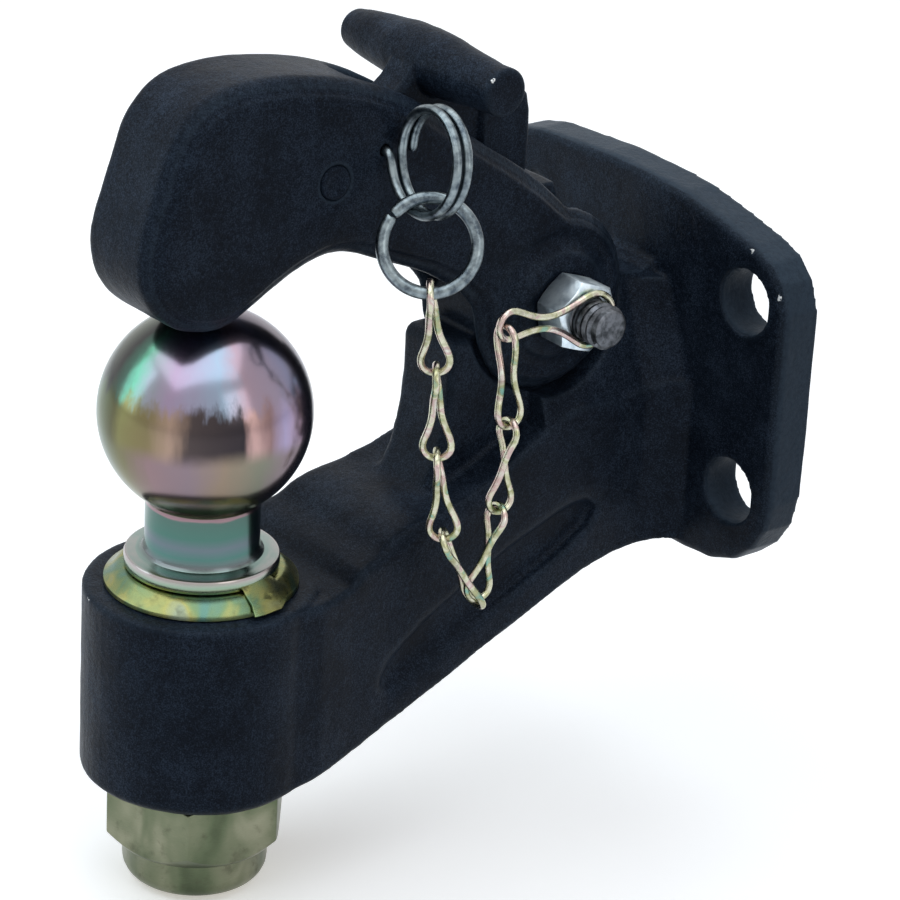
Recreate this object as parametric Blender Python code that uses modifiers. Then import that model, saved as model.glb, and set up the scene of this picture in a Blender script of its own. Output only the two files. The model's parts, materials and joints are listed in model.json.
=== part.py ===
"""Pintle hook with tow ball, built in metres with Z up.

The mounting face lies on Y = 0 and the ball is towards -Y.
The origin is the centre of the four bolt holes on the mounting face.
"""
import math

import bmesh
import bpy
import numpy as np
from mathutils import Matrix, Vector

MM = 0.001

# Distances from the ball centre to the mounting face and to the bolt pattern centre
BALL_TO_FACE = 165.0
BALL_ABOVE_BOLTS = 13.3
GAP = 0.3

# Ball and its fastening
BALL_D = 58.74
SEAT_GAP = 0.9
NECK_D = 31.75
BASE_R = 21.5
BASE_TOP = -41.2
BASE_BOTTOM = -45.3
SHANK_BOTTOM = -135.5
BARREL_R = 33.0
BARREL_TOP = -50.6
BARREL_BOTTOM = -107.8
SHANK_BORE_R = NECK_D / 2 + GAP
WASHER_TOP_R = BASE_R + 1.1
WASHER_BOTTOM_R = BASE_R + 5.5
NUT_AF = NECK_D * 1.5
NUT_HEX_H = 21.0
NUT_COLLAR_R = SHANK_BORE_R + 4.4
NUT_COLLAR_H = 11.6
INSERT_R = SHANK_BORE_R + 2.8

# Flange
FLANGE_T = 13.0
HOLE_R = 9.75
HOLE_X = 47.1
HOLE_Z = 29.4

# Pivot, ear and jaw fork
PIVOT_Y = 109.2
PIVOT_Z = 14.1
BOLT_R = 6.35
BOLT_BORE_R = BOLT_R + GAP
SMALL_NUT_AF = BOLT_R * 3
SMALL_NUT_H = 10.9
BOLT_HEAD_H = 8.0
EAR_HALF = 9.5
EAR_R = 24.5
HORN_R = 34.0
FORK_HALF = EAR_HALF + GAP
FORK_R = HORN_R + 1.3
CHEEK_R = 27.0
SCOOP_R = CHEEK_R + 0.7
JAW_HALF = 16.0
JAW_ROUND = 5.0
BOSS_R = 19.0
BOSS_X = JAW_HALF + 2.5
BOLT_END_X = BOSS_X + GAP + SMALL_NUT_H + 10.3

# Latch
LATCH_Y = 29.4
LATCH_Z = 64.4
LATCH_PIN_R = 4.6
LATCH_HALF = 6.0
SLOT_HALF = LATCH_HALF + 0.4
TAIL_HALF = 8.0
HANDLE_Y = 71.2
HANDLE_Z = 87.7
HANDLE_END_X = 34.0
LATCH_LIFT = math.radians(18.0)
SPRING_Y = 18.5

# Safety pin, ring and chain
WIRE_R = 1.3
PIN_BORE_R = WIRE_R + 0.35
PIN_Y = 45.3
PIN_Z = 71.0
COIL_R = 14.3
COIL_PITCH = 3.4
RING_R = 12.7
RING_WIRE_R = 1.75
RING_CENTRE = (JAW_HALF + 22.1, 44.1, 51.4)
LINK_WIRE_R = 0.95
LINK_EYE = 4.3
LINK_WAIST = 1.5
NUT_FACE_X = BOSS_X + GAP + SMALL_NUT_H
CHAIN_POINTS = [
    (JAW_HALF + 26.4, 41.5, 41.5),
    (JAW_HALF + 24.4, 46.5, 16.1),
    (JAW_HALF + 23.0, 49.6, -10.2),
    (JAW_HALF + 22.5, 54.0, -35.8),
    (JAW_HALF + 21.5, 67.7, -60.1),
    (JAW_HALF + 20.0, 75.0, -33.5),
    (JAW_HALF + 18.5, 78.4, -9.0),
    (NUT_FACE_X + LINK_WIRE_R + 1.55, 77.2, 18.4),
    (NUT_FACE_X + LINK_WIRE_R + 0.75, PIVOT_Y, PIVOT_Z),
]

# How a shape drawn in its own XY plane is turned to face along each axis of the part
FACING = {
    "X": Matrix(((0, 0, 1), (1, 0, 0), (0, 1, 0))).to_4x4(),
    "Y": Matrix(((1, 0, 0), (0, 0, 1), (0, -1, 0))).to_4x4(),
    "Z": Matrix.Identity(4),
}


def to_frame(x, y, z):
    """Turns a point measured from the ball centre in mm into the part's frame."""
    return Vector((x * MM, (y - BALL_TO_FACE) * MM, (z + BALL_ABOVE_BOLTS) * MM))


def drawn(points):
    """An outline drawn for a reach of 165 mm, at this hook's reach."""
    grow = BALL_TO_FACE / 165.0
    return [(across * grow, rise * grow) for across, rise in points]


for old in list(bpy.data.objects):
    bpy.data.objects.remove(old, do_unlink=True)

parts = bpy.data.collections.new("pintle_hook")
cutters = bpy.data.collections.new("cutters")
bpy.context.scene.collection.children.link(parts)
bpy.context.scene.collection.children.link(cutters)
cutters.hide_render = True


def material(name, colour, metallic, roughness):
    made = bpy.data.materials.new(name)
    made.use_nodes = True
    shader = made.node_tree.nodes["Principled BSDF"]
    shader.inputs["Base Color"].default_value = (*colour, 1.0)
    shader.inputs["Metallic"].default_value = metallic
    shader.inputs["Roughness"].default_value = roughness
    return made


enamel_body = material("enamel_body", (0.012, 0.014, 0.022), 0.0, 0.42)
enamel_jaw = material("enamel_jaw", (0.012, 0.014, 0.022), 0.0, 0.42)
enamel_latch = material("enamel_latch", (0.012, 0.014, 0.022), 0.0, 0.45)
zinc_ball = material("zinc_ball", (0.62, 0.5, 0.45), 1.0, 0.2)
zinc_washer = material("zinc_washer", (0.62, 0.6, 0.25), 1.0, 0.28)
zinc_nut = material("zinc_nut", (0.5, 0.47, 0.25), 1.0, 0.35)
nylon = material("nylon", (0.5, 0.52, 0.45), 0.0, 0.5)
bolt_steel = material("bolt_steel", (0.12, 0.12, 0.13), 1.0, 0.4)
nut_zinc = material("nut_zinc", (0.6, 0.66, 0.72), 1.0, 0.25)
pin_steel = material("pin_steel", (0.35, 0.36, 0.38), 1.0, 0.4)
spring_steel = material("spring_steel", (0.3, 0.3, 0.31), 1.0, 0.35)
ring_zinc = material("ring_zinc", (0.45, 0.5, 0.53), 1.0, 0.32)
chain_zinc = material("chain_zinc", (0.6, 0.52, 0.33), 1.0, 0.28)


def link_object(name, data, collection):
    made = bpy.data.objects.new(name, data)
    collection.objects.link(made)
    return made


def welded(mesh):
    """Joins loose seams and caps, and turns every face outwards."""
    work = bmesh.new()
    work.from_mesh(mesh)
    bmesh.ops.remove_doubles(work, verts=work.verts, dist=1e-6)
    bmesh.ops.dissolve_limit(work, angle_limit=math.radians(0.1), verts=work.verts, edges=work.edges)
    bmesh.ops.recalc_face_normals(work, faces=work.faces)
    work.to_mesh(mesh)
    work.free()
    return mesh


def evaluated(obj):
    bpy.context.view_layer.update()
    graph = bpy.context.evaluated_depsgraph_get()
    return bpy.data.meshes.new_from_object(obj.evaluated_get(graph))


def baked(obj):
    """Swaps an object's mesh for its evaluated one and drops its modifiers."""
    mesh = evaluated(obj)
    obj.modifiers.clear()
    obj.data = mesh
    return obj


def as_mesh(source, place, collection):
    """A curve object becomes a welded mesh object of the same name, moved by a matrix."""
    name = source.name
    mesh = evaluated(source)
    bpy.data.objects.remove(source, do_unlink=True)
    mesh.transform(place)
    return link_object(name, welded(mesh), collection)


def bevelled(obj, width, segments=2, angle=50.0):
    edge = obj.modifiers.new("edges", "BEVEL")
    edge.width = width * MM
    edge.segments = segments
    edge.limit_method = "ANGLE"
    edge.angle_limit = math.radians(angle)
    return baked(obj)


def plate(name, points, half, facing="X", middle=0.0, collection=cutters):
    """A flat outline in mm from the ball centre, filled and extruded both ways along an axis."""
    curve = bpy.data.curves.new(name, "CURVE")
    curve.dimensions = "2D"
    curve.fill_mode = "BOTH"
    curve.extrude = half * MM
    spline = curve.splines.new("POLY")
    spline.points.add(len(points) - 1)
    spline.use_cyclic_u = True
    for point, (across, rise) in zip(spline.points, points):
        point.co = (across * MM, rise * MM, 0.0, 1.0)
    shift = {"X": (middle, 0.0, 0.0), "Y": (0.0, middle, 0.0), "Z": (0.0, 0.0, middle)}[facing]
    place = Matrix.Translation(to_frame(*shift)) @ FACING[facing]
    return as_mesh(link_object(name, curve, collection), place, collection)


def turned(name, profile, centre=(0.0, 0.0, 0.0), facing="Z", sides=40, collection=cutters, ring=False):
    """A profile of (radius, height) from the low end to the high end, revolved by a Screw modifier."""
    rows = list(profile) if ring else [(0.0, profile[0][1]), *profile, (0.0, profile[-1][1])]
    rows = [row for k, row in enumerate(rows) if k == 0 or row != rows[k - 1]]
    edges = [(k, k + 1) for k in range(len(rows) - 1)]
    if ring:
        edges.append((len(rows) - 1, 0))
    mesh = bpy.data.meshes.new(name)
    mesh.from_pydata([(radius * MM, 0.0, height * MM) for radius, height in rows[::-1]], edges, [])
    obj = link_object(name, mesh, collection)
    screw = obj.modifiers.new("turn", "SCREW")
    screw.steps = sides
    screw.render_steps = sides
    screw.use_merge_vertices = True
    screw.merge_threshold = 1e-6
    baked(obj)
    obj.data.transform(Matrix.Translation(to_frame(*centre)) @ FACING[facing])
    work = bmesh.new()
    work.from_mesh(obj.data)
    bmesh.ops.remove_doubles(work, verts=work.verts, dist=1e-7)
    bmesh.ops.recalc_face_normals(work, faces=work.faces)
    work.to_mesh(obj.data)
    work.free()
    return obj


def cylinder(name, centre, radius, low, high, facing="X", sides=32, phase=0.0, collection=cutters):
    """A plain cylinder, or a prism with few sides, from low to high along an axis."""
    work = bmesh.new()
    spin = Matrix.Translation((0.0, 0.0, (low + high) / 2 * MM)) @ Matrix.Rotation(phase, 4, "Z")
    bmesh.ops.create_cone(work, cap_ends=True, segments=sides, radius1=radius * MM, radius2=radius * MM,
                          depth=(high - low) * MM, matrix=spin)
    mesh = bpy.data.meshes.new(name)
    work.to_mesh(mesh)
    work.free()
    mesh.transform(Matrix.Translation(to_frame(*centre)) @ FACING[facing])
    return link_object(name, mesh, collection)


def cut(obj, tool, operation="DIFFERENCE"):
    change = obj.modifiers.new(operation.lower(), "BOOLEAN")
    change.operation = operation
    change.solver = "EXACT"
    change.object = tool
    baked(obj)
    bpy.data.objects.remove(tool, do_unlink=True)
    return obj


def hexagon(name, centre, across, low, high, facing, phase=0.0, low_rise=0.5):
    """A hexagonal prism with its corners turned back at both ends."""
    corner = across / math.sqrt(3)
    body = cylinder(name, centre, corner, low, high, facing, 6, phase, parts)
    flat = across / 2 * 0.97
    full = corner * 1.03
    turn_back = full - flat
    cone = turned(name + "_cone", [(flat, low - 0.01), (full, low + turn_back * low_rise),
                                   (full, high - turn_back * 0.5), (flat, high + 0.01)], centre, facing, 36)
    return cut(body, cone, "INTERSECT")


def cleaned(obj, distance=0.004):
    work = bmesh.new()
    work.from_mesh(obj.data)
    bmesh.ops.remove_doubles(work, verts=work.verts, dist=distance * MM)
    bmesh.ops.dissolve_degenerate(work, edges=work.edges, dist=distance * MM)
    bmesh.ops.dissolve_limit(work, angle_limit=math.radians(0.4), verts=work.verts, edges=work.edges)
    bmesh.ops.triangulate(work, faces=[face for face in work.faces if len(face.verts) > 4])
    bmesh.ops.recalc_face_normals(work, faces=work.faces)
    work.to_mesh(obj.data)
    work.free()
    return obj


def finish_part(obj, look, origin=None):
    """Gives a part its material, and its origin where it turns."""
    obj.data.materials.clear()
    obj.data.materials.append(look)
    obj.data.shade_smooth()
    obj.data.set_sharp_from_angle(angle=math.radians(30.0))
    if origin is not None:
        obj.data.transform(Matrix.Translation(-origin))
        obj.location = origin
    return obj


def arc(cy, cz, radius, start, end, steps):
    """Points on a circle in the Y-Z plane, angles in degrees from +Y towards +Z."""
    turns = [math.radians(start + (end - start) * i / steps) for i in range(steps + 1)]
    return [(cy + radius * math.cos(turn), cz + radius * math.sin(turn)) for turn in turns]


# Hook body: flange
flange_top = drawn([(-64.0, 24.0), (-62.6, 32.0), (-57.5, 37.4), (-48.0, 39.6), (-32.0, 40.6), (-14.0, 41.6),
                    (0.0, 41.4), (18.0, 40.2), (34.0, 37.0), (48.0, 33.6), (56.0, 30.4), (61.2, 25.4),
                    (64.0, 17.0)])
flange_low = drawn([(64.0, -42.0), (62.2, -50.5), (57.5, -58.0), (50.5, -63.8), (41.0, -67.2), (30.0, -68.0)])
flange_outline = flange_top + flange_low + [(-x, z) for x, z in reversed(flange_low)]
hook_body = plate("hook_body", [(x, -z) for x, z in flange_outline], FLANGE_T / 2, "Y",
                  BALL_TO_FACE - FLANGE_T / 2, parts)
weights = hook_body.data.attributes.new("bevel_weight_edge", "FLOAT", "EDGE")
for item in hook_body.data.edges:
    if max(hook_body.data.vertices[v].co.y for v in item.vertices) < (0.001 - FLANGE_T) * MM:
        weights.data[item.index].value = 1.0
front_edge = hook_body.modifiers.new("front_edge", "BEVEL")
front_edge.width = 2.4 * MM
front_edge.segments = 2
front_edge.limit_method = "WEIGHT"
baked(hook_body)


# Half the arm's width at distances from the ball, from the barrel to the flare at the flange
arm_widths = drawn([(0.0, 31.6), (9.0, 31.3), (20.0, 30.6), (32.0, 28.2), (46.0, 26.0), (80.0, 23.4),
                    (134.0, 21.0), (141.0, 21.6), (147.0, 24.0), (153.0, 30.5)])


def arm_half(y):
    return float(np.interp(y, *zip(*arm_widths)))


# Hook body: arm from the flange down to the barrel, drawn 2 mm wide and then spread to its width
arm_outline = drawn([(0.0, BARREL_BOTTOM + 1.0), (8.0, BARREL_BOTTOM + 1.0), (16.0, -106.0), (25.0, -104.6),
                     (37.0, -101.8), (53.0, -97.0), (71.0, -90.5), (89.0, -83.5), (110.0, -75.4),
                     (122.0, -71.0), (133.0, -68.8), (141.0, -67.6), (147.0, -66.6), (153.0, -65.6),
                     (153.0, -14.0), (141.0, -17.0), (130.0, -18.0), (118.0, -17.0), (110.0, -18.6),
                     (97.0, -25.0), (86.0, -31.0), (75.0, -35.6), (66.0, -37.6), (55.0, -38.4),
                     (47.5, -40.6), (43.5, -44.2), (35.5, -46.4), (31.0, -50.0), (24.0, -51.4), (0.0, -51.4)])
arm = plate("arm", arm_outline, 1.0)
work = bmesh.new()
work.from_mesh(arm.data)
for y, _ in arm_widths[1:-1]:
    whole = [*work.verts, *work.edges, *work.faces]
    bmesh.ops.bisect_plane(work, geom=whole, plane_co=to_frame(0, y, 0), plane_no=(0, 1, 0))
for vertex in work.verts:
    vertex.co.x *= arm_half(vertex.co.y / MM + BALL_TO_FACE)
work.to_mesh(arm.data)
work.free()
bevelled(arm, 3.6)
cut(hook_body, arm, "UNION")

barrel = turned("barrel", [(BARREL_R - 2.0, BARREL_BOTTOM), (BARREL_R, BARREL_BOTTOM + 2.0),
                           (BARREL_R, BARREL_TOP - 1.4), (BARREL_R - 0.4, BARREL_TOP - 0.4),
                           (BARREL_R - 1.4, BARREL_TOP)], sides=56)
cut(hook_body, barrel, "UNION")

# Hook body: the upright in front of the ear
pillar_outline = drawn([(64.0, -42.0), (69.0, -36.0), (72.5, -29.0), (74.6, -20.0), (75.7, -9.0), (75.7, 3.6),
                        (77.4, 6.2), (140.0, 8.0), (153.0, 14.0), (153.0, -55.0), (64.0, -55.0)])
cut(hook_body, bevelled(plate("pillar", pillar_outline, 11.5), 1.8), "UNION")

# Hook body: gusset between the arm and the ear, narrowed at its top and flared at the flange
gusset_foot = [(21.0, 104.0), (21.0, 141.0), (23.6, 147.0), (30.0, 153.0)]
gusset_low = -21.0
gusset_high = 13.0
gusset_plan = gusset_foot + [(-x, y) for x, y in reversed(gusset_foot)]
gusset = plate("gusset", gusset_plan, (gusset_high - gusset_low) / 2, "Z", (gusset_high + gusset_low) / 2)
for vertex in gusset.data.vertices:
    if vertex.co.z > to_frame(0, 0, 0).z:
        y = vertex.co.y / MM + BALL_TO_FACE
        vertex.co.x *= float(np.interp(y, [104.0, 141.0, 147.0, 153.0], [0.43, 0.47, 0.51, 0.57]))
cut(hook_body, gusset, "UNION")

# The jaw's cheeks swing in these round recesses beside the ear
for side in (-1, 1):
    cut(hook_body, cylinder("scoop", (side * (EAR_HALF + 20.0), PIVOT_Y, PIVOT_Z), SCOOP_R, -20.0, 20.0))

ear_outline = ([(79.0, -42.0), (79.0, -14.0)] + arc(PIVOT_Y, PIVOT_Z, EAR_R, 206.0, 118.0, 9)
               + arc(PIVOT_Y, PIVOT_Z, HORN_R, 114.0, 86.0, 4) + arc(PIVOT_Y, PIVOT_Z, EAR_R, 78.0, 12.0, 6)
               + [(140.0, 15.0), (147.0, 14.4), (153.0, 17.0), (153.0, -42.0)])
cut(hook_body, plate("ear", ear_outline, EAR_HALF), "UNION")

# Side recesses that leave the rib along the arm's lower edge, wider at the mouth than at the floor
recess_outline = drawn([(46.0, -90.6), (60.0, -85.0), (80.0, -76.8), (100.0, -68.4), (116.0, -61.0),
                        (124.0, -55.6), (127.0, -50.6), (123.0, -46.4), (113.0, -48.0), (95.0, -54.4),
                        (76.0, -62.6), (58.0, -71.8), (46.0, -80.4), (42.6, -86.4)])
recess_middle = to_frame(0, *np.mean(np.array(recess_outline), axis=0))
for side in (-1, 1):
    recess = plate("recess", recess_outline, 1.0)
    for vertex in recess.data.vertices:
        mouth = vertex.co.x * side > 0
        width = arm_half(vertex.co.y / MM + BALL_TO_FACE)
        vertex.co.x = side * (width + (30.0 if mouth else -3.6)) * MM
        spread = 1.12 if mouth else 0.9
        vertex.co.y = recess_middle.y + (vertex.co.y - recess_middle.y) * (1.0 + (spread - 1.0) * 0.4)
        vertex.co.z = recess_middle.z + (vertex.co.z - recess_middle.z) * spread
    welded(recess.data)
    cut(hook_body, recess)

# Bores and bolt holes
cut(hook_body, cylinder("shank_bore", (0, 0, 0), SHANK_BORE_R, BARREL_BOTTOM - 5, BARREL_TOP + 5, "Z", 40))
cut(hook_body, cylinder("pivot_bore", (0, PIVOT_Y, PIVOT_Z), BOLT_BORE_R, -30.0, 30.0, "X", 28))
for hole_x in (-HOLE_X, HOLE_X):
    for hole_z in (-HOLE_Z, HOLE_Z):
        spot = (hole_x, BALL_TO_FACE, hole_z - BALL_ABOVE_BOLTS)
        cut(hook_body, cylinder("bolt_hole", spot, HOLE_R, -FLANGE_T - 5, 5.0, "Y", 28))
finish_part(cleaned(hook_body), enamel_body)

# Tow ball
ball_r = BALL_D / 2
neck_r = NECK_D / 2
start = math.asin(neck_r / ball_r)
ball_rows = [(ball_r * math.sin(a), -ball_r * math.cos(a)) for a in np.linspace(start, math.pi, 17)[:-1]]
shank_rows = [(neck_r - 1.6, SHANK_BOTTOM), (neck_r, SHANK_BOTTOM + 1.6), (neck_r, BASE_BOTTOM),
              (BASE_R - 0.8, BASE_BOTTOM), (BASE_R, BASE_BOTTOM + 0.8), (BASE_R, BASE_TOP - 1.0),
              (BASE_R - 1.0, BASE_TOP), (neck_r + 1.2, BASE_TOP), (neck_r, BASE_TOP + 1.6)]
tow_ball = turned("tow_ball", shank_rows + ball_rows + [(0.0, ball_r)], sides=36, collection=parts)
finish_part(tow_ball, zinc_ball)

seat_low = BARREL_TOP + GAP
seat_high = BASE_BOTTOM - GAP
washer_rows = [(SHANK_BORE_R, seat_low), (WASHER_BOTTOM_R, seat_low), (WASHER_BOTTOM_R, seat_low + 1.2),
               (WASHER_TOP_R, seat_high), (SHANK_BORE_R, seat_high)]
finish_part(turned("ball_seat_washer", washer_rows, collection=parts, ring=True), zinc_washer)

# Ball nut with its locking ring
nut_top = BARREL_BOTTOM - GAP
hex_low = nut_top - NUT_HEX_H
collar_low = hex_low - NUT_COLLAR_H
ball_nut = hexagon("ball_nut", (0, 0, 0), NUT_AF, hex_low, nut_top, "Z", math.radians(-9.6), 1.1)
collar = turned("collar", [(NUT_COLLAR_R - 3.4, collar_low), (NUT_COLLAR_R - 1.0, collar_low + 1.8),
                           (NUT_COLLAR_R, collar_low + 4.4), (NUT_COLLAR_R, hex_low + 1.0)])
cut(ball_nut, collar, "UNION")
insert_low = collar_low + 2.4
insert_high = insert_low + 5.0
cut(ball_nut, turned("nut_bore", [(SHANK_BORE_R, collar_low - 2), (SHANK_BORE_R, insert_low),
                                  (INSERT_R, insert_low), (INSERT_R, insert_high),
                                  (SHANK_BORE_R, insert_high), (SHANK_BORE_R, nut_top + 2)]))
finish_part(cleaned(ball_nut), zinc_nut)
insert_rows = [(SHANK_BORE_R, insert_low + GAP), (INSERT_R - GAP, insert_low + GAP),
               (INSERT_R - GAP, insert_high - GAP), (SHANK_BORE_R, insert_high - GAP)]
finish_part(turned("ball_nut_insert", insert_rows, collection=parts, ring=True), nylon)

# Pivot bolt and nut
face_x = BOSS_X + GAP
pivot = (0, PIVOT_Y, PIVOT_Z)
pivot_bolt = hexagon("pivot_bolt", pivot, SMALL_NUT_AF, -face_x - BOLT_HEAD_H, -face_x, "X")
stem = turned("stem", [(BOLT_R, -face_x - 2.0), (BOLT_R, BOLT_END_X - 1.4), (BOLT_R - 1.2, BOLT_END_X)],
              pivot, "X", 28)
cut(pivot_bolt, stem, "UNION")
finish_part(cleaned(pivot_bolt), bolt_steel)
pivot_nut = hexagon("pivot_nut", pivot, SMALL_NUT_AF, face_x, NUT_FACE_X, "X", math.radians(11.0))
cut(pivot_nut, cylinder("small_bore", pivot, BOLT_BORE_R, 0.0, 50.0, "X", 28))
finish_part(cleaned(pivot_nut), nut_zinc)

# Jaw
jaw_top = drawn([(-10.0, 28.2), (-18.0, 30.4), (-25.0, 35.8), (-29.3, 42.4), (-30.6, 49.6), (-30.2, 56.4),
                 (-27.4, 65.0), (-24.4, 73.6), (-21.4, 82.2), (-18.2, 87.4), (-13.6, 91.8), (-8.0, 94.6),
                 (1.0, 96.0), (13.0, 95.8), (26.0, 93.8), (38.0, 90.7), (50.0, 86.2), (61.0, 80.4),
                 (69.0, 74.8), (76.0, 69.8), (85.0, 64.0), (95.0, 57.4), (105.2, 49.5), (110.5, 44.2)])
jaw_throat = drawn([(79.4, 19.4), (73.4, 25.2), (66.0, 29.8), (58.0, 33.4), (50.0, 36.6), (43.0, 39.6),
                    (36.0, 42.4), (29.5, 42.8), (23.5, 41.2), (17.5, 38.8), (12.0, 36.0), (6.0, 32.6),
                    (0.0, 29.2), (-4.0, 28.0)])
jaw_outline = jaw_top + arc(PIVOT_Y, PIVOT_Z, CHEEK_R, 79.0, -186.0, 24) + jaw_throat
jaw = bevelled(plate("jaw", jaw_outline, JAW_HALF, collection=parts), JAW_ROUND, 3)
for side in (-1, 1):
    rows = [(BOSS_R, side * (FORK_HALF + 1.0)), (BOSS_R, side * (JAW_HALF + 0.4)),
            (BOSS_R - 3.2, side * BOSS_X)]
    cut(jaw, turned("boss", rows[::side], pivot, "X"), "UNION")
fork_outline = ([(82.0, 120.0), (82.0, 40.0)] + arc(PIVOT_Y, PIVOT_Z, FORK_R, 140.0, 216.0, 8)
                + [(82.0, -20.0), (150.0, -20.0), (150.0, 120.0)])
cut(jaw, plate("fork", fork_outline, FORK_HALF))
seat_r = BALL_D / 2 + SEAT_GAP
seat_rows = [(seat_r * math.cos(a), seat_r * math.sin(a)) for a in np.linspace(-math.pi / 2, math.pi / 2, 19)]
cut(jaw, turned("ball_seat", seat_rows, sides=36))
slot_outline = drawn([(12.8, 54.2), (12.8, 73.6), (24.0, 76.4), (34.0, 79.4), (41.0, 83.0), (43.8, 84.4),
                      (43.8, 120.0), (90.0, 120.0), (90.0, 54.2)])
cut(jaw, plate("slot", slot_outline, SLOT_HALF))
cut(jaw, cylinder("spring_well", (0, SPRING_Y, 0), 4.2, 47.6, 56.0, "Z", 20))
cut(jaw, cylinder("jaw_pivot_bore", pivot, BOLT_BORE_R, -30.0, 30.0, "X", 28))
cut(jaw, cylinder("latch_pin_bore", (0, LATCH_Y, LATCH_Z), LATCH_PIN_R + GAP, -30.0, 30.0, "X", 24))
cut(jaw, cylinder("safety_bore", (0, PIN_Y, PIN_Z), PIN_BORE_R, -30.0, 30.0, "X", 20))
finish_part(cleaned(jaw), enamel_jaw, to_frame(*pivot))

pin_rows = [(LATCH_PIN_R - 1.0, -JAW_HALF - 0.2), (LATCH_PIN_R, -JAW_HALF + 0.8),
            (LATCH_PIN_R, JAW_HALF - 0.8), (LATCH_PIN_R - 1.0, JAW_HALF + 0.2)]
finish_part(turned("latch_pin", pin_rows, (0, LATCH_Y, LATCH_Z), "X", 24, parts), pin_steel)

# Latch lever with its T-handle and the tail that hooks behind the horn
lever_outline = drawn([(13.6, 61.0), (13.6, 67.6), (20.0, 70.4), (26.0, 72.0), (33.0, 73.2), (40.0, 75.0),
                       (47.4, 77.4), (53.0, 80.0), (58.6, 84.4), (63.0, 90.0), (71.0, 93.0), (77.0, 88.0),
                       (82.0, 82.0), (88.0, 79.0), (88.0, 55.2), (50.0, 55.2), (32.0, 56.4), (22.0, 57.6)])
latch = bevelled(plate("latch", lever_outline, LATCH_HALF, collection=parts), 1.2, 1)
tail_outline = ([(85.0, 57.0), (85.0, 79.6), (93.0, 79.8), (98.4, 78.4), (101.6, 75.0), (102.6, 70.0),
                 (102.6, 55.0)] + arc(PIVOT_Y, PIVOT_Z, HORN_R + 0.5, 102.0, 128.0, 4) + [(86.6, 50.0)])
cut(latch, bevelled(plate("tail", tail_outline, TAIL_HALF), 1.2, 1), "UNION")
handle_rows = [(4.0, -HANDLE_END_X), (5.7, -HANDLE_END_X + 1.6), (6.5, -28.0), (7.6, -19.0), (8.8, -9.0),
               (9.2, 0.0), (8.8, 9.0), (7.7, 19.0), (7.0, 28.0), (6.9, HANDLE_END_X - 0.8),
               (6.2, HANDLE_END_X)]
cut(latch, turned("handle", handle_rows, (0, HANDLE_Y, HANDLE_Z), "X", 28), "UNION")
cut(latch, cylinder("latch_eye", (0, LATCH_Y, LATCH_Z), LATCH_PIN_R + GAP, -30.0, 30.0, "X", 24))

# A curved slot lets the lever lift while the safety pin is in
reach = math.hypot(PIN_Y - LATCH_Y, PIN_Z - LATCH_Z)
rest_angle = math.degrees(math.atan2(PIN_Z - LATCH_Z, PIN_Y - LATCH_Y))
lowest = rest_angle - math.degrees(LATCH_LIFT)
track_half = PIN_BORE_R + 0.2
ends = [arc(LATCH_Y, LATCH_Z, reach, angle, angle, 1)[0] for angle in (rest_angle, lowest)]
track_outline = (arc(LATCH_Y, LATCH_Z, reach + track_half, lowest, rest_angle, 5)
                 + arc(*ends[0], track_half, rest_angle + 17.0, rest_angle + 163.0, 4)
                 + arc(LATCH_Y, LATCH_Z, reach - track_half, rest_angle, lowest, 5)
                 + arc(*ends[1], track_half, lowest + 197.0, lowest + 343.0, 4))
cut(latch, plate("track", track_outline, 30.0))
finish_part(cleaned(latch), enamel_latch, to_frame(0, LATCH_Y, LATCH_Z))


def wire(name, points, radius, look, closed=False, resolution=2):
    """A round wire along points in mm from the ball centre."""
    curve = bpy.data.curves.new(name, "CURVE")
    curve.dimensions = "3D"
    curve.bevel_depth = radius * MM
    curve.bevel_resolution = resolution
    curve.use_fill_caps = not closed
    spline = curve.splines.new("POLY")
    spline.points.add(len(points) - 1)
    spline.use_cyclic_u = closed
    for point, place in zip(spline.points, points):
        point.co = (*to_frame(*place), 1.0)
    made = as_mesh(link_object(name, curve, parts), Matrix.Identity(4), parts)
    return finish_part(made, look)


# Latch spring under the lever's nose
spring_steps = 40
spring_path = []
for i in range(spring_steps + 1):
    angle = math.tau * i / 10
    rise = 48.4 + 9.6 * i / spring_steps
    spring_path.append((2.8 * math.cos(angle), SPRING_Y + 2.8 * math.sin(angle), rise))
wire("latch_spring", spring_path, 0.45, spring_steel, resolution=0)

# Safety pin: a straight shank that bends into a double coil
coil_axis = Vector((-0.08, -0.99, 0.10)).normalized()
across = (Vector((1, 0, 0)) - coil_axis * coil_axis.x).normalized()
upward = across.cross(coil_axis)
upward = upward if upward.z > 0 else -upward
coil_centre = Vector((JAW_HALF + WIRE_R + 1.0, PIN_Y, PIN_Z)) + across * COIL_R + upward * 1.6
pin_path = [(x, PIN_Y, PIN_Z) for x in (-JAW_HALF - 4.0, 0.0, JAW_HALF - 1.0, JAW_HALF + 0.9)]
coil_start = math.radians(193.0)
coil_sweep = math.radians(712.0)
coil_steps = 46
for i in range(coil_steps + 1):
    turn = coil_sweep * i / coil_steps
    angle = coil_start + turn
    spoke = across * math.cos(angle) + upward * math.sin(angle)
    pin_path.append(tuple(coil_centre + spoke * COIL_R - coil_axis * COIL_PITCH * turn / math.tau))
wire("safety_pin", pin_path, WIRE_R, ring_zinc)

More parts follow.
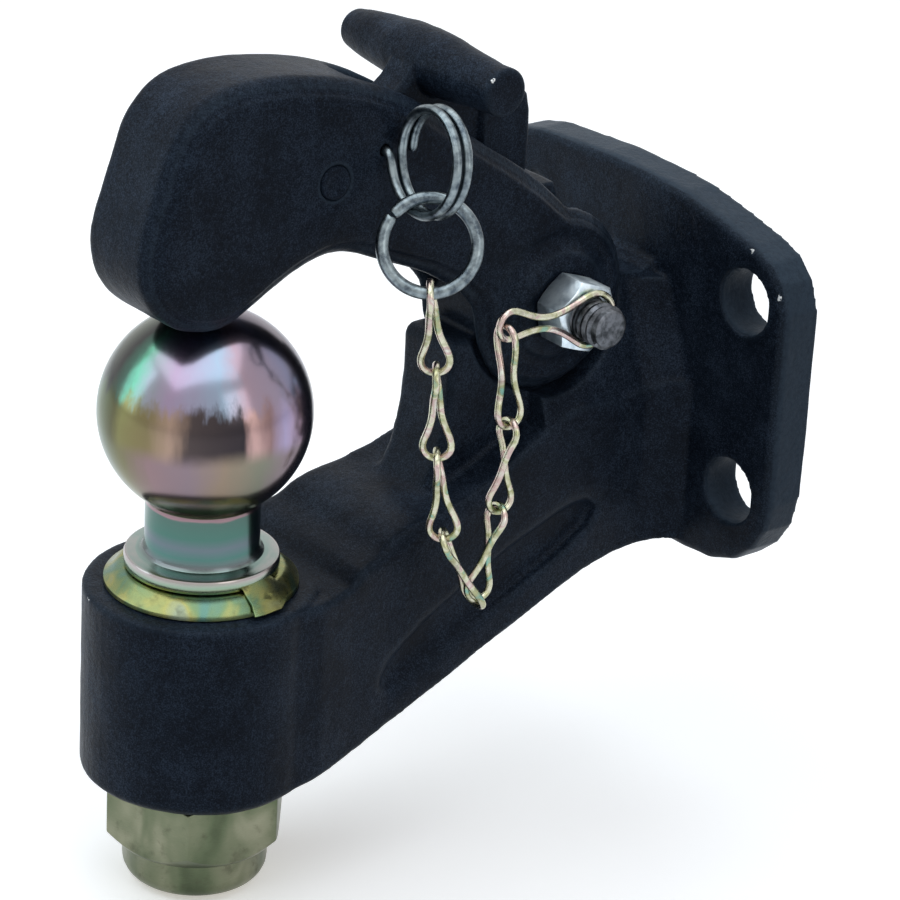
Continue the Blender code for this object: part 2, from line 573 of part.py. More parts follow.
# Tether ring, open at its joint
ring_normal = Vector((0.705, -0.583, 0.4035)).normalized()
ring_u = Vector((0.619, 0.784, 0.049))
ring_u = (ring_u - ring_normal * ring_u.dot(ring_normal)).normalized()
ring_v = ring_normal.cross(ring_u)
ring_steps = 36
ring_opening = math.radians(1.8)
ring_path = []
for i in range(ring_steps + 1):
    angle = math.radians(141.0) + ring_opening + (math.tau - ring_opening * 2) * i / ring_steps
    spoke = ring_u * math.cos(angle) + ring_v * math.sin(angle)
    ring_path.append(tuple(Vector(RING_CENTRE) + spoke * RING_R))
wire("tether_ring", ring_path, RING_WIRE_R, ring_zinc)


def link_width(along, length, end_eye, wrap):
    """Half the spread of a link's two strands at a distance from its first end."""
    far_start = length - end_eye
    wrap_start = far_start - end_eye * wrap
    if along < LINK_EYE:
        return math.sqrt(max(0.0, LINK_EYE ** 2 - (along - LINK_EYE) ** 2))
    if along > wrap_start:
        return math.sqrt(max(0.0, end_eye ** 2 - (along - far_start) ** 2))
    share = (along - LINK_EYE) / (wrap_start - LINK_EYE)
    end_wide = math.sqrt(end_eye ** 2 - (wrap_start - far_start) ** 2)
    narrowing = math.sin(math.pi * share) ** 1.2
    return (LINK_EYE * (1 - share) + end_wide * share) * (1 - narrowing) + LINK_WAIST * narrowing


# Chain of twisted wire links, each eye square to the next, the last one looped round the bolt
chain = [Vector(point) for point in CHAIN_POINTS]
spacing = LINK_WIRE_R + 0.25
normal = ring_u
caught = chain[0]
arriving = (chain[1] - chain[0]).normalized()
for index in range(8):
    last = index == 7
    end_eye = BOLT_R + LINK_WIRE_R + 0.6 if last else LINK_EYE
    run = (chain[index + 1] - chain[index]).normalized()
    hook = arriving if index == 4 else run
    begin = caught - hook * spacing * (2 if index else 1)
    finish = chain[index + 1] + run * (end_eye if last else spacing)
    length = (finish - begin).length
    direction = (finish - begin).normalized()
    if last:
        normal = Vector((1, 0, 0))
    normal = (normal - direction * normal.dot(direction)).normalized()
    end_normal = direction.cross(normal)
    if index in (3, 6):
        end_normal = Vector((1, 0, 0)).cross(direction).normalized()
    if last:
        end_normal = normal
    twist = math.atan2(normal.cross(end_normal).dot(direction), normal.dot(end_normal))
    steps = 15 if last else 11
    path = []
    for k in list(range(steps + 1)) + list(range(steps - 1, 0, -1)):
        strand = 1 if len(path) <= steps else -1
        along = length * (1 - math.cos(math.pi * k / steps)) / 2
        share = (along - LINK_EYE * 1.2) / (length - LINK_EYE * 1.2 - end_eye * 1.1)
        spin = twist * min(1.0, max(0.0, share))
        sideways = direction.cross(normal) * math.cos(spin) - normal * math.sin(spin)
        wide = link_width(along, length, end_eye, 0.72 if last else 0.0)
        path.append(tuple(begin + direction * along + sideways * wide * strand))
    wire("chain_link_%d" % (index + 1), path, LINK_WIRE_R, chain_zinc, True, 1)
    if not last:
        normal = end_normal.cross((chain[index + 2] - chain[index + 1]).normalized())
    caught = finish
    arriving = direction
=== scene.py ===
import json
import math

import bmesh
import bpy
import numpy as np
from mathutils import Matrix, Vector, noise


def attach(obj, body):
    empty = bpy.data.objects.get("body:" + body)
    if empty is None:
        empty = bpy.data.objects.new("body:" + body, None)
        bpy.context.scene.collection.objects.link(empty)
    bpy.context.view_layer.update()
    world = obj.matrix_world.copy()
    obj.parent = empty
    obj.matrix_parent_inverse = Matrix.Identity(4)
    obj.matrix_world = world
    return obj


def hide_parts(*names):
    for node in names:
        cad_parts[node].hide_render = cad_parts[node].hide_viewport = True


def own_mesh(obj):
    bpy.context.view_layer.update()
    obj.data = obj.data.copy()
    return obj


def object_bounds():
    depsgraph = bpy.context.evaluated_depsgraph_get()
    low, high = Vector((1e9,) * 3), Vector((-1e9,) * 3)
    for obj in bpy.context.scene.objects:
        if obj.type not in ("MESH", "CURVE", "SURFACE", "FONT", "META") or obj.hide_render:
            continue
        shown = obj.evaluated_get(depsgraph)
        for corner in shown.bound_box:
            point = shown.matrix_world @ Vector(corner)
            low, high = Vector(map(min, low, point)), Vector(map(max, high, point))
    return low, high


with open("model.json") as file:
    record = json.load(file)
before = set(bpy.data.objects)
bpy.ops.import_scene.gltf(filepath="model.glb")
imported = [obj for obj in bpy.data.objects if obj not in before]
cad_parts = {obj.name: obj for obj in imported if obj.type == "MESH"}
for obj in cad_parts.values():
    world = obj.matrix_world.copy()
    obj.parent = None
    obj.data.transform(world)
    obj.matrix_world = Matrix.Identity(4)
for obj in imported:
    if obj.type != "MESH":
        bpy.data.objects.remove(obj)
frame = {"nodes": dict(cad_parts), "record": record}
cadLow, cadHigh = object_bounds()
nodes = frame["nodes"]
mm = 0.001

# Shapes below are drawn in mm from the ball's centre; this is that point in the frame
ballCentre = Vector((0.0, -0.165, 0.0133))
ballRadius = 29.37

# How a shape drawn about its own Z axis is turned to lie along each axis of the frame
facings = {
    "X": Matrix(((0, 0, 1), (1, 0, 0), (0, 1, 0))).to_4x4(),
    "Z": Matrix.Identity(4),
}


def toFrame(x, y, z):
    return ballCentre + Vector((x, y, z)) * mm


def linked(name, data):
    made = bpy.data.objects.new(name, data)
    bpy.context.scene.collection.objects.link(made)
    return made


# Camera at the photograph's viewpoint
view = {
    "position": (0.75768, -0.70465, 0.41472),
    "right": (0.61918935, 0.78369129, 0.04932048),
    "up": (-0.3449952, 0.21508051, 0.9136294),
    "forward": (-0.70539553, 0.58272493, -0.4035453),
    "lens": 149.8,
}


def makeCamera():
    data = bpy.data.cameras.new("camera")
    data.lens = view["lens"]
    data.sensor_width = 36.0
    data.clip_start = 0.05
    data.clip_end = 20.0
    camera = linked("camera", data)
    turn = Matrix((view["right"], view["up"], -Vector(view["forward"]))).transposed().to_4x4()
    camera.matrix_world = Matrix.Translation(view["position"]) @ turn
    bpy.context.scene.camera = camera


makeCamera()
print("camera ready")


# A node's output, so that shader maths reads as Python
class Value:
    def __init__(self, graph, socket):
        self.graph = graph
        self.socket = socket

    def maths(self, operation, *others):
        return self.graph.node("ShaderNodeMath", [self, *others], operation=operation)

    def __add__(self, other):
        return self.maths("ADD", other)

    def __radd__(self, other):
        return self.maths("ADD", other)

    def __sub__(self, other):
        return self.maths("SUBTRACT", other)

    def __rsub__(self, other):
        return self.graph.node("ShaderNodeMath", [other, self], operation="SUBTRACT")

    def __mul__(self, other):
        return self.maths("MULTIPLY", other)

    def __rmul__(self, other):
        return self.maths("MULTIPLY", other)

    def __truediv__(self, other):
        return self.maths("DIVIDE", other)

    # Rises from 0 to 1 as the value passes edge
    def above(self, edge, width):
        return self.graph.node("ShaderNodeMapRange", [self, edge - width, edge + width, 0.0, 1.0],
                               interpolation_type="SMOOTHSTEP")

    def ramp(self, stops):
        return self.graph.node("ShaderNodeValToRGB", [self], stops=stops)


# The nodes in front of the shader of a material, or of the world
class Graph:
    def __init__(self, owner, shader="Principled BSDF", **constants):
        owner.use_nodes = True
        self.owner = owner
        self.tree = owner.node_tree
        self.shader = self.tree.nodes[shader]
        for key, value in constants.items():
            self.shader.inputs[key.replace("_", " ")].default_value = value

    def node(self, kind, inputs=(), output=0, stops=None, **settings):
        made = self.tree.nodes.new(kind)
        for key, value in settings.items():
            setattr(made, key, value)
        if stops:
            elements = made.color_ramp.elements
            while len(elements) < len(stops):
                elements.new(0.5)
            for element, (place, colour) in zip(elements, stops):
                element.position = place
                element.color = (*colour, 1.0)
        pairs = inputs.items() if isinstance(inputs, dict) else enumerate(inputs)
        for key, value in pairs:
            if isinstance(value, Value):
                self.tree.links.new(value.socket, made.inputs[key])
            else:
                made.inputs[key].default_value = value
        return Value(self, made.outputs[output])

    def drive(self, name, value):
        self.tree.links.new(value.socket, self.shader.inputs[name])

    def place(self, scale=(1.0, 1.0, 1.0), offset=(0.0, 0.0, 0.0)):
        here = self.node("ShaderNodeTexCoord", output="Object")
        return self.node("ShaderNodeMapping", {"Vector": here, "Scale": scale, "Location": offset})

    # Noise whose blobs are about size mm across
    def grain(self, size, detail=3.0, roughness=0.5, stretch=(1.0, 1.0, 1.0), distortion=0.0, seed=0.0):
        inputs = {
            "Vector": self.place(stretch, (seed, seed * 0.7, -seed)),
            "Scale": 1.0 / (size * mm),
            "Detail": detail,
            "Roughness": roughness,
            "Distortion": distortion,
        }
        return self.node("ShaderNodeTexNoise", inputs, "Fac")

    def attribute(self, name):
        return self.node("ShaderNodeAttribute", output="Fac", attribute_name=name)

    def mixColour(self, share, first, second):
        shown = [value if isinstance(value, Value) else (*value, 1.0) for value in (first, second)]
        return self.node("ShaderNodeMix", {0: share, 6: shown[0], 7: shown[1]}, 2, data_type="RGBA")

    # layers holds (height value, depth in mm, strength) from coarse to fine
    def bump(self, layers):
        normal = None
        for value, depth, strength in layers:
            inputs = {"Strength": strength, "Distance": depth * mm, "Height": value}
            if normal:
                inputs["Normal"] = normal
            normal = self.node("ShaderNodeBump", inputs)
        self.drive("Normal", normal)


def surface(name, **constants):
    return Graph(bpy.data.materials.new(name), **constants)


# Blue-black paint on a forged skin: tones are its stops from dark to light
paint = {
    "tones": [(0.40, (0.0025, 0.0042, 0.0076)), (0.5, (0.0090, 0.0135, 0.0220)),
              (0.60, (0.0300, 0.0430, 0.0640))],
    # This pale colour serves for rubbed paint on edges and for a painted highlight on the flange's rim
    "rubbedAndSheen": (0.042, 0.060, 0.080),
    "dust": (0.075, 0.085, 0.10),
    "bareSteel": (0.52, 0.54, 0.55),
}


# One attribute pales the paint, as rubbed wear along sharp edges and as a painted highlight on the flange's
# rim, and the chips attribute takes it off
def enamel(name, seed, rough=0.40):
    graph = surface(name, Specular_IOR_Level=0.055, IOR=1.5)
    cloud = graph.grain(15.0, 4.0, 0.6, seed=seed)
    speck = graph.grain(0.9, 2.0, 0.5, seed=seed + 3.0)
    pebble = graph.grain(1.5, 4.0, 0.62, seed=seed + 5.0)
    dent = graph.grain(7.0, 2.0, 0.5, seed=seed + 7.0)
    dust = graph.grain(0.8, 1.0, 0.5, seed=seed + 9.0).above(0.77, 0.02)
    ragged = graph.grain(1.6, 4.0, 0.7, seed=seed + 11.0) - 0.5
    mottle = graph.grain(0.42, 2.0, 0.7, seed=seed + 13.0)
    colour = (cloud * 0.25 + pebble * 0.2 + mottle * 0.55).ramp(paint["tones"])
    colour = graph.mixColour(graph.attribute("rubbedAndSheen") * (pebble * 0.8 + 0.35), colour, paint["rubbedAndSheen"])
    colour = graph.mixColour(dust * 0.35, colour, paint["dust"])
    chips = (graph.attribute("chips") + ragged * 0.8).above(0.62, 0.05)
    graph.drive("Base Color", graph.mixColour(chips, colour, paint["bareSteel"]))
    graph.drive("Metallic", chips)
    graph.drive("Roughness", cloud * 0.16 + speck * 0.14 + (rough - 0.15))
    graph.bump([(dent, 0.5, 0.18), (pebble, 0.30, 0.6), (speck, 0.08, 0.45)])
    return graph.owner


# Zinc under a chromate film: tones are the film's colours, patch the size of its patches in mm
chromates = {
    "zinc_washer": {
        "tones": [(0.30, (0.10, 0.20, 0.165)), (0.42, (0.14, 0.21, 0.11)), (0.54, (0.27, 0.27, 0.10)),
                  (0.68, (0.22, 0.26, 0.18))],
        "rough": 0.28, "patch": 9.0, "stretch": (1.0, 1.0, 1.0), "seed": 8.0,
        "brushed": (1.0, 1.0, 40.0), "depth": 0.02,
    },
    "zinc_nut": {
        "tones": [(0.30, (0.06, 0.075, 0.045)), (0.44, (0.11, 0.135, 0.08)), (0.58, (0.17, 0.185, 0.12)),
                  (0.74, (0.27, 0.27, 0.19))],
        "rough": 0.36, "patch": 12.0, "stretch": (1.0, 1.0, 0.6), "seed": 15.0,
        "brushed": (1.0, 1.0, 4.0), "depth": 0.04,
    },
    "chain_zinc": {
        "tones": [(0.30, (0.20, 0.40, 0.34)), (0.40, (0.36, 0.36, 0.20)), (0.50, (0.60, 0.60, 0.46)),
                  (0.60, (0.50, 0.36, 0.34)), (0.72, (0.66, 0.68, 0.60))],
        "rough": 0.24, "patch": 5.0, "stretch": (1.0, 1.0, 1.0), "seed": 19.0,
        "brushed": (1.0, 1.0, 1.0), "depth": 0.02,
    },
}


def chromate(name):
    zinc = chromates[name]
    seed = zinc["seed"]
    graph = surface(name, Metallic=1.0)
    film = graph.grain(zinc["patch"], 2.0, 0.45, zinc["stretch"], 0.6, seed)
    fine = graph.grain(1.4, 4.0, 0.6, zinc["brushed"], seed=seed + 2.0)
    dirt = graph.grain(5.0, 5.0, 0.65, seed=seed + 4.0)
    colour = (film * 0.9 + fine * 0.1).ramp(zinc["tones"])
    stain = dirt.above(0.64, 0.12)
    graph.drive("Base Color", graph.mixColour(stain * 0.45, colour, (0.07, 0.065, 0.045)))
    graph.drive("Roughness", fine * 0.14 + stain * 0.16 + (zinc["rough"] - 0.07))
    graph.bump([(fine, zinc["depth"], 0.35), (dirt, 0.05, 0.12)])
    return graph.owner


# The polished ball's film with painted reflections: middle, upper and lower are its colours and painted
# reflections all the way round at three heights, neck is its colours down the neck and the base flange, and
# rim is the painted shade under the ball
ballFilmAndReflections = {
    "middle": [(0.04, (0.20, 0.20, 0.09)), (0.15, (0.07, 0.16, 0.12)), (0.19, (0.10, 0.14, 0.07)),
               (0.245, (0.09, 0.085, 0.04)), (0.265, (0.19, 0.18, 0.075)), (0.315, (0.19, 0.155, 0.08)),
               (0.35, (0.34, 0.235, 0.18)), (0.378, (0.07, 0.055, 0.055)), (0.455, (0.035, 0.03, 0.035)),
               (0.474, (0.50, 0.32, 0.30)), (0.50, (0.24, 0.15, 0.15)), (0.535, (0.34, 0.29, 0.44)),
               (0.575, (0.42, 0.29, 0.40)), (0.62, (0.16, 0.14, 0.16)), (0.75, (0.34, 0.28, 0.16)),
               (0.88, (0.16, 0.27, 0.22)), (0.96, (0.20, 0.20, 0.09))],
    "upper": [(0.10, (0.10, 0.13, 0.09)), (0.21, (0.05, 0.05, 0.05)), (0.245, (0.07, 0.14, 0.11)),
              (0.265, (0.11, 0.30, 0.21)), (0.30, (0.24, 0.27, 0.30)), (0.345, (0.30, 0.23, 0.33)),
              (0.43, (0.24, 0.31, 0.40)), (0.47, (0.30, 0.22, 0.27)), (0.52, (0.28, 0.23, 0.30)),
              (0.57, (0.20, 0.20, 0.30)), (0.62, (0.13, 0.11, 0.14)), (0.80, (0.28, 0.24, 0.30)),
              (0.95, (0.10, 0.13, 0.09))],
    "lower": [(0.10, (0.14, 0.14, 0.09)), (0.19, (0.07, 0.12, 0.08)), (0.26, (0.16, 0.15, 0.075)),
              (0.32, (0.25, 0.17, 0.18)), (0.38, (0.23, 0.175, 0.20)), (0.43, (0.26, 0.20, 0.15)),
              (0.49, (0.19, 0.195, 0.15)), (0.54, (0.24, 0.18, 0.21)), (0.62, (0.20, 0.15, 0.17)),
              (0.82, (0.34, 0.28, 0.18)), (0.95, (0.14, 0.14, 0.09))],
    "neck": [(0.50, (0.26, 0.17, 0.19)), (0.508, (0.30, 0.19, 0.21)), (0.520, (0.085, 0.15, 0.13)),
             (0.62, (0.075, 0.165, 0.14)), (0.68, (0.13, 0.165, 0.19)), (0.74, (0.08, 0.18, 0.16)),
             (0.79, (0.15, 0.165, 0.175)), (0.81, (0.22, 0.31, 0.28)), (0.825, (0.42, 0.36, 0.36)),
             (0.86, (0.26, 0.36, 0.27)), (0.90, (0.38, 0.38, 0.22))],
    "rim": (0.12, 0.13, 0.05),
    "neckReach": 50.0,    # mm below the ball's centre where the neck's colours end
    "neckTop": -25.1,     # mm
}


def polishedZinc(name):
    film = ballFilmAndReflections
    graph = surface(name, Metallic=1.0)
    here = graph.place(offset=tuple(-ballCentre))
    x, y, z = (graph.node("ShaderNodeSeparateXYZ", [here], axis) for axis in "XYZ")
    wide = graph.grain(16.0, 3.0, 0.5, seed=2.0) - 0.5
    streak = graph.grain(2.6, 3.0, 0.6, (1.0, 1.0, 0.12), seed=4.0) - 0.5
    fine = graph.grain(0.5, 3.0, 0.6, seed=6.0)
    turning = graph.grain(1.1, 3.0, 0.6, (0.05, 0.05, 3.0), seed=8.0)
    around = y.maths("ARCTAN2", x) / math.tau + 0.5 + wide * 0.03 + streak * 0.022
    level = z / (ballRadius * mm)
    height = level + wide * 0.16
    # The three rings hold painted reflections as well as the film's colours
    middle, upper, lower = (around.ramp(film[key]) for key in ("middle", "upper", "lower"))
    colour = graph.mixColour((height + streak * 0.4).above(0.36, 0.10), middle, upper)
    colour = graph.mixColour(1.0 - height.above(-0.08, 0.10), colour, lower)
    # Painted shade: the ball's underside is darkened
    colour = graph.mixColour(1.0 - level.above(-0.66, 0.06), colour, film["rim"])
    below = 0.0 - (z / mm + turning)
    neck = (below / film["neckReach"] + wide * 0.04).ramp(film["neck"])
    colour = graph.mixColour(1.0 - (z / mm).above(film["neckTop"], 0.4), colour, neck)
    graph.drive("Base Color", colour)
    graph.drive("Roughness", fine * 0.08 + (0.5 + wide) * 0.12 + 0.10)
    graph.bump([(wide, 0.25, 0.08), (turning, 0.02, 0.15), (fine, 0.008, 0.2)])
    return graph.owner


# Plain metals: dark and light are the colours of its patches
def steel(name, light, dark, rough, seed=0.0, patchSize=4.0):
    graph = surface(name, Metallic=1.0)
    patch = graph.grain(patchSize, 5.0, 0.6, seed=seed)
    fine = graph.grain(0.5, 3.0, 0.6, seed=seed + 2.0)
    graph.drive("Base Color", patch.ramp([(0.36, dark), (0.60, light)]))
    graph.drive("Roughness", fine * 0.2 + patch * 0.12 + (rough - 0.15))
    graph.bump([(fine, 0.02, 0.4), (patch, 0.05, 0.2)])
    return graph.owner


def plastic(name, colour):
    graph = surface(name, Roughness=0.5)
    haze = graph.grain(3.0, 3.0)
    graph.drive("Base Color", haze.ramp([(0.3, tuple(part * 0.85 for part in colour)), (0.7, colour)]))
    graph.bump([(haze, 0.03, 0.3)])
    return graph.owner


# One finish for each material slot of the CAD
looks = {
    "enamel_body": enamel("enamel_body", 0.0),
    "enamel_jaw": enamel("enamel_jaw", 11.0),
    "enamel_latch": enamel("enamel_latch", 23.0, 0.44),
    "pin_steel": enamel("pin_steel", 31.0, 0.5),
    "zinc_ball": polishedZinc("zinc_ball"),
    "nylon": plastic("nylon", (0.40, 0.42, 0.36)),
    "bolt_steel": steel("bolt_steel", (0.15, 0.16, 0.18), (0.04, 0.045, 0.05), 0.40, 1.0, 2.4),
    "nut_zinc": steel("nut_zinc", (0.80, 0.90, 0.96), (0.50, 0.60, 0.68), 0.38, 5.0),
    "spring_steel": steel("spring_steel", (0.30, 0.30, 0.31), (0.16, 0.16, 0.16), 0.35, 9.0),
    "ring_zinc": steel("ring_zinc", (0.26, 0.31, 0.33), (0.07, 0.09, 0.11), 0.30, 13.0, 3.0),
}
looks.update({name: chromate(name) for name in chromates})
slotOf = {row["node"]: row["material_slot"] for row in frame["record"]["subparts"]}
bodies = frame["record"]["behaviour"]["bodies"]
bodyOf = {node: body for body, held in bodies.items() for node in held}
for name, node in nodes.items():
    node.data.materials.clear()
    node.data.materials.append(looks[slotOf[name]])
print("materials ready")


# Swaps a piece's mesh for its evaluated one and drops the modifiers
def settled(obj):
    bpy.context.view_layer.update()
    graph = bpy.context.evaluated_depsgraph_get()
    mesh = bpy.data.meshes.new_from_object(obj.evaluated_get(graph))
    obj.modifiers.clear()
    obj.data = mesh
    return obj


def modify(obj, kind, **settings):
    change = obj.modifiers.new(kind.lower(), kind)
    for key, value in settings.items():
        setattr(change, key, value)
    return settled(obj)


# Doubles nearer than this many metres are merged on CAD copies and after a Boolean
weld = 2e-6


# Merges doubles and points the faces outwards
def cleaned(obj, distance=1e-7, flatAngle=None):
    work = bmesh.new()
    work.from_mesh(obj.data)
    bmesh.ops.remove_doubles(work, verts=work.verts, dist=distance)
    if flatAngle:
        bmesh.ops.join_triangles(work, faces=work.faces, angle_face_threshold=flatAngle,
                                 angle_shape_threshold=0.9)
    bmesh.ops.recalc_face_normals(work, faces=work.faces)
    work.to_mesh(obj.data)
    work.free()
    return obj


def cadCopy(name, node):
    return cleaned(linked(name, nodes[node].data.copy()), weld, 0.6)


def combine(obj, tool, operation="DIFFERENCE"):
    modify(obj, "BOOLEAN", operation=operation, solver="EXACT", object=tool)
    bpy.data.objects.remove(tool, do_unlink=True)
    return obj


# Turns a profile of (radius, height) in mm about an axis through centre
def turned(name, profile, centre=(0.0, 0.0, 0.0), facing="Z", sides=120, ring=False):
    points = []
    rows = []
    for radius, height in profile:
        count = sides if radius > 1e-6 else 1
        rows.append([len(points) + i for i in range(count)])
        for i in range(count):
            angle = math.tau * i / sides
            points.append((radius * math.cos(angle) * mm, radius * math.sin(angle) * mm, height * mm))
    faces = []
    for lower, upper in zip(rows, rows[1:] + rows[:1] if ring else rows[1:]):
        for i in range(sides):
            corners = [lower[i % len(lower)], lower[(i + 1) % len(lower)],
                       upper[(i + 1) % len(upper)], upper[i % len(upper)]]
            faces.append(list(dict.fromkeys(corners)))
    if not ring:
        faces += [row for row in (rows[0], rows[-1]) if len(row) > 1]
    mesh = bpy.data.meshes.new(name)
    mesh.from_pydata(points, [], faces)
    mesh.transform(Matrix.Translation(toFrame(*centre)) @ facings[facing])
    return cleaned(linked(name, mesh))


# A hexagon whose corners are turned back at each end that has a rise
def hexagon(name, spec, centre, facing):
    corner = spec["across"] / math.sqrt(3)
    low, high = spec["low"], spec["high"]
    prism = turned(name, [(corner, low), (corner, high)], (0.0, 0.0, 0.0), "Z", 6)
    phase = Matrix.Rotation(math.pi / 2 + math.radians(spec["phase"]), 4, "Z")
    prism.data.transform(Matrix.Translation(-ballCentre))
    prism.data.transform(Matrix.Translation(toFrame(*centre)) @ facings[facing] @ phase)
    flat = spec["across"] / 2 * 0.955    # the end's round face stays inside the flats
    full = corner * 1.02
    rows = [(flat, low - 0.01), (full, low + (full - flat) * spec["lowRise"]),
            (full, high - (full - flat) * spec["highRise"]), (flat, high + 0.01)]
    return combine(prism, turned(name + "_cone", rows, centre, facing, 96), "INTERSECT")


def softened(obj, width):
    return modify(obj, "BEVEL", width=width * mm, segments=2, limit_method="ANGLE",
                  angle_limit=math.radians(32))


def arrayOf(mesh, name):
    values = np.zeros(len(mesh.vertices) * 3)
    mesh.vertices.foreach_get(name, values)
    return values.reshape(-1, 3)


def edgeEnds(mesh):
    ends = np.zeros(len(mesh.edges) * 2, int)
    mesh.edges.foreach_get("vertices", ends)
    return ends.reshape(-1, 2)


# For each point, the mean of values over the points that share an edge with it
def neighbourMean(values, ends):
    count = len(values)
    first, second = ends.T
    share = np.bincount(first, minlength=count) + np.bincount(second, minlength=count)
    total = np.stack([np.bincount(first, column[second], count) + np.bincount(second, column[first], count)
                      for column in values.T], axis=1)
    return np.where(share[:, None] > 0, total / np.maximum(share, 1)[:, None], values)


# 1 within the radius of any capsule and 0 from twice it on, capsules being (start, end, radius) in mm
def nearness(spots, capsules):
    near = np.zeros(len(spots))
    for start, end, radius in capsules:
        start, end = (np.array(toFrame(*point)) for point in (start, end))
        run = end - start
        along = np.clip(((spots - start) @ run) / max(run @ run, 1e-12), 0.0, 1.0)
        away = np.linalg.norm(spots - start - along[:, None] * run, axis=1)
        near = np.maximum(near, np.clip(2.0 - away / (radius * mm), 0.0, 1.0))
    return near


# 1 well inside the capsules and 0 beyond them or inside those that are kept
def weighed(spots, capsules, kept):
    return nearness(spots, capsules) * (1.0 - nearness(spots, kept))


# Each round takes the points halfway to their neighbours' mean, as far as weight says
def relaxed(spots, ends, weight, rounds, keepX=False):
    for _ in range(rounds):
        mean = neighbourMean(spots, ends)
        if keepX:
            mean[:, 0] = spots[:, 0]
        spots = spots + 0.5 * weight[:, None] * (mean - spots)
    return spots


# Flattens the rounded long edges of a forging to a chamfer
def chamfered(spots, normals, ends, spec):
    lean = normals
    for _ in range(8):
        lean = neighbourMean(lean, ends)
    lean = lean / np.maximum(np.linalg.norm(lean, axis=1), 1e-6)[:, None]
    diagonal = math.pi / 4
    tilt = np.arcsin(np.clip(np.abs(lean[:, 0]), 0.0, 1.0)) - diagonal
    depth = spec["chamfer"] * mm * (np.cos(tilt) - math.cos(diagonal))
    outer = np.clip((np.abs(spots[:, 0]) / mm - spec["chamferFrom"]) / 2.0, 0.0, 1.0)
    loose = 1.0 - nearness(spots, spec["kept"])
    return spots - lean * (depth * outer * loose)[:, None]


# How sharply the surface bends at each point, from 0 to 1
def sharpness(spots, normals, ends, voxel):
    first, second = ends.T
    bend = ((normals[second] - normals[first]) * (spots[second] - spots[first])).sum(1)
    sharp = np.bincount(first, bend, len(spots)) + np.bincount(second, bend, len(spots))
    return np.clip(sharp / (voxel * mm) / 0.9, 0.0, 1.0)


def giveAttribute(mesh, name, values):
    mesh.attributes.new(name, "FLOAT", "POINT").data.foreach_set("value", values)


# A soft-edged copy of a CAD node as a forging's skin, with nicks near the named spots
def forged(name, node, spec):
    obj = cadCopy(name, node)
    target = cadCopy("target", node)
    modify(obj, "REMESH", mode="VOXEL", voxel_size=spec["voxel"] * mm, adaptivity=0.0)
    modify(obj, "SHRINKWRAP", target=target, wrap_method="NEAREST_SURFACEPOINT")
    bpy.data.objects.remove(target, do_unlink=True)
    modify(obj, "SMOOTH", factor=0.5, iterations=spec["rounds"])
    mesh = obj.data
    spots = arrayOf(mesh, "co")
    ends = edgeEnds(mesh)

    # The outline's corners run out along it through edges that lie mostly across X, so its section
    # keeps its own edges
    run = np.abs(spots[ends[:, 1]] - spots[ends[:, 0]])
    sliced = ends[run[:, 0] < 0.45 * np.linalg.norm(run, axis=1)]
    weight = weighed(spots, spec["faired"], spec["kept"])
    spots = relaxed(spots, sliced, weight, spec["fairing"], keepX=True)

    # Soft places fade into the surface round them
    weight = weighed(spots, spec["soft"], spec["kept"])
    spots = relaxed(spots, ends, weight, spec["softening"])
    mesh.vertices.foreach_set("co", spots.ravel())
    mesh.update()
    normals = arrayOf(mesh, "normal")
    if spec["chamfer"]:
        spots = relaxed(chamfered(spots, normals, ends, spec), ends, weight, 3)

    # Waves leave the skin slightly uneven, and mostly lower than the CAD
    sharp = sharpness(spots, normals, ends, spec["voxel"])
    shift = np.zeros(len(spots))
    for size, depth, seed in spec["waves"]:
        away = Vector((seed, seed * 1.7, -seed))
        shift += depth * mm * np.array([noise.noise(Vector(p) / (size * mm) + away) - 0.4 for p in spots])
    mesh.vertices.foreach_set("co", (spots + normals * shift[:, None]).ravel())
    mesh.update()

    # Nicks show bare steel on sharp edges; the edges are rubbed pale, and the flange's rim is paled as a
    # painted highlight
    near = nearness(spots, [(spot[:3], spot[:3], spot[3] / 2) for spot in spec["nicks"]])
    giveAttribute(mesh, "chips", near * sharp)
    sideways = np.clip(2.2 - 3.5 * np.abs(normals[:, 1]), 0.0, 1.0)
    # Painted highlight: the flange's rim strip, where it faces sideways, is paled as if lit
    rim = np.clip((spots[:, 1] + spec["rim"] * mm) / (2.0 * mm), 0.0, 1.0) * sideways
    edge = np.clip(sharp * 1.6 - 0.15, 0.0, 1.0) * spec["edgeRub"]
    giveAttribute(mesh, "rubbedAndSheen", np.maximum(rim, edge))
    return obj


# Gives a piece its finish, its body and the CAD node that it stands for
def finished(obj, node, angle=40.0, stands=True):
    obj.data.materials.clear()
    obj.data.materials.append(looks[slotOf[node]])
    obj.data.shade_smooth()
    if angle:
        obj.data.set_sharp_from_angle(angle=math.radians(angle))
    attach(obj, bodyOf[node])
    if stands:
        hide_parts(node)
    return obj


